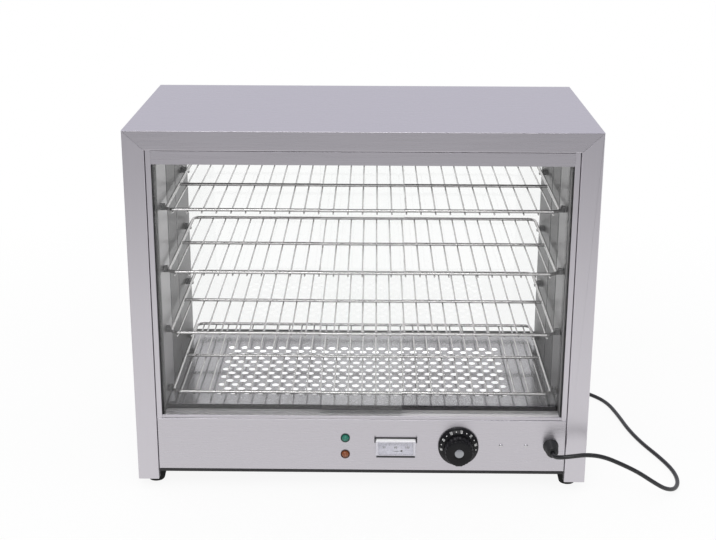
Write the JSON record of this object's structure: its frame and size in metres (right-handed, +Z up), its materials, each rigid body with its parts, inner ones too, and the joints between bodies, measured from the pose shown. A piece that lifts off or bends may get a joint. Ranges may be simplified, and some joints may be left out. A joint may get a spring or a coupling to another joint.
{
  "type": "heated display case",
  "caption": "Counter-top heated display case: stainless box with sliding glass doors, wire shelves over a perforated deck, and a control panel with thermostat knob.",
  "frame": {"origin": "on the surface the feet stand on, under the middle of the case with its knob", "axes": "+X to the operator's right along the front, +Y from the front to the back, +Z up"},
  "size_m": [0.8267, 0.5503, 0.5515],
  "materials": {
    "stainless": "brushed",
    "liner": "satin",
    "track": "satin",
    "seal": "matte",
    "door_glass": "clear",
    "pegs": "matte",
    "shelf_wire": "polished",
    "deck": "polished",
    "heater_sheath": "heat-tinted",
    "zinc": "zinc plated",
    "copper": "bright copper",
    "foot_rubber": "matte",
    "thermostat": "matte",
    "shaft_steel": "turned",
    "knob_black": "satin",
    "cap_silver": "brushed",
    "green_lens": "clear lens, unlit",
    "amber_lens": "clear lens, unlit",
    "bezel_chrome": "polished",
    "dial_face": "matte",
    "dial_window": "clear",
    "terminal_plastic": "matte",
    "gland_plastic": "matte",
    "cord_rubber": "satin",
    "pin_brass": "bright"
  },
  "bodies": {
    "case": {"side_panel_left": "stainless", "side_panel_right": "stainless", "top_cover": "stainless", "jamb_left": "stainless", "jamb_right": "stainless", "control_panel": "stainless", "rear_panel": "stainless", "base_tray": "stainless", "track_carrier": "stainless", "side_liner_left": "liner", "side_liner_right": "liner", "ceiling_liner": "liner", "sill_track": "track", "header_track": "track", "jamb_seal_left": "seal", "jamb_seal_right": "seal", "rear_gasket": "seal", "rear_glass": "door_glass", "shelf_pegs_left": "pegs", "shelf_pegs_right": "pegs", "perforated_deck": "deck", "heat_pan": "deck", "heater_left": "heater_sheath", "heater_right": "heater_sheath", "heater_clips": "zinc", "bulb_clips": "zinc", "heater_terminals": "zinc", "foot_screws": "zinc", "lamp_nuts": "zinc", "panel_screws": "zinc", "thermostat_bulb": "copper", "foot_front_left": "foot_rubber", "foot_rear_left": "foot_rubber", "foot_front_right": "foot_rubber", "foot_rear_right": "foot_rubber", "thermostat_body": "thermostat", "green_lamp": "green_lens", "amber_lamp": "amber_lens", "thermometer_case": "bezel_chrome", "thermometer_face": "dial_face", "thermometer_window": "dial_window", "terminal_block": "terminal_plastic", "cord_gland": "gland_plastic", "gland_nut": "gland_plastic", "power_cord": "cord_rubber", "cord_coil": "cord_rubber", "power_plug": "cord_rubber", "plug_pins": "pin_brass"},
    "left_door": {"glass_door_left": "door_glass"},
    "right_door": {"glass_door_right": "door_glass"},
    "bottom_shelf_body": {"bottom_shelf": "shelf_wire"},
    "lower_shelf_body": {"lower_shelf": "shelf_wire"},
    "upper_shelf_body": {"upper_shelf": "shelf_wire"},
    "top_shelf_body": {"top_shelf": "shelf_wire"},
    "knob": {"dial_knob": "knob_black", "knob_cap": "cap_silver", "thermostat_shaft": "shaft_steel"}
  },
  "joints": [
    {"name": "left_door_slide", "type": "slide", "parent": "case", "child": "left_door", "axis": [1, 0, 0], "range_m": [0, 0.235]},
    {"name": "right_door_slide", "type": "slide", "parent": "case", "child": "right_door", "axis": [-1, 0, 0], "range_m": [0, 0.235]},
    {"name": "thermostat_turn", "type": "hinge", "parent": "case", "child": "knob", "pos_m": [0.1455, -0.182, 0.0725], "axis": [0, 1, 0], "range_deg": [0, 300]},
    {"name": "bottom_shelf_lift", "type": "slide", "parent": "case", "child": "bottom_shelf_body", "axis": [0, 0, 1], "range_m": [0, 0.03]},
    {"name": "lower_shelf_lift", "type": "slide", "parent": "case", "child": "lower_shelf_body", "axis": [0, 0, 1], "range_m": [0, 0.03]},
    {"name": "upper_shelf_lift", "type": "slide", "parent": "case", "child": "upper_shelf_body", "axis": [0, 0, 1], "range_m": [0, 0.03]},
    {"name": "top_shelf_lift", "type": "slide", "parent": "case", "child": "top_shelf_body", "axis": [0, 0, 1], "range_m": [0, 0.03]}
  ]
}
